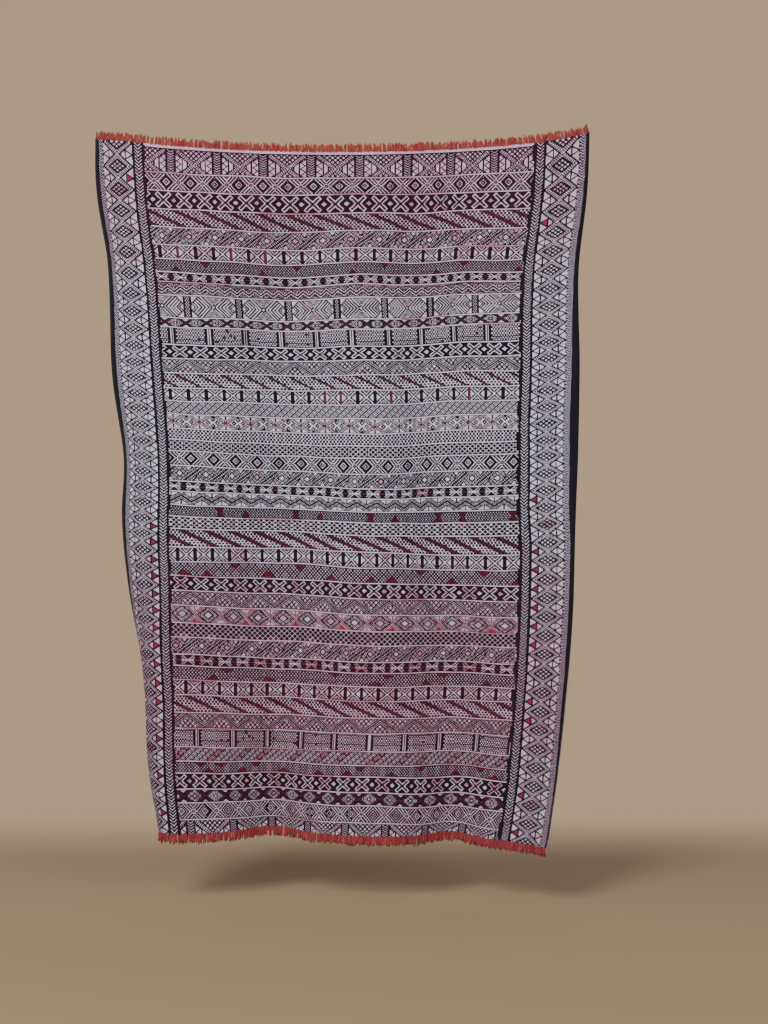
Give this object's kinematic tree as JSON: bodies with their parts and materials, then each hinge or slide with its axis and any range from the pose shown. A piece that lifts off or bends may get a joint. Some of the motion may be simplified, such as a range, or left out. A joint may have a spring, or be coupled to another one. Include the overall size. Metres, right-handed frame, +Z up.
{
  "type": "kilim rug",
  "caption": "Hanging flat-woven kilim rug with banded field, lozenge side borders and short warp fringes at both ends.",
  "frame": {"origin": "middle of the cloth's top edge, in the middle of its thickness, where the rug is held up", "axes": "+Z up along the warp towards the held edge, +X to the right along the weft, patterned face towards -Y"},
  "size_m": [1.2177, 0.1496, 1.7925],
  "materials": {
    "woven_wool": "matte",
    "fringe_orange_red": "matte",
    "fringe_coral_red": "matte"
  },
  "bodies": {
    "root": {"rug_cloth": "woven_wool", "fringe_top": "fringe_orange_red", "fringe_bottom": "fringe_coral_red"}
  },
  "joints": []
}
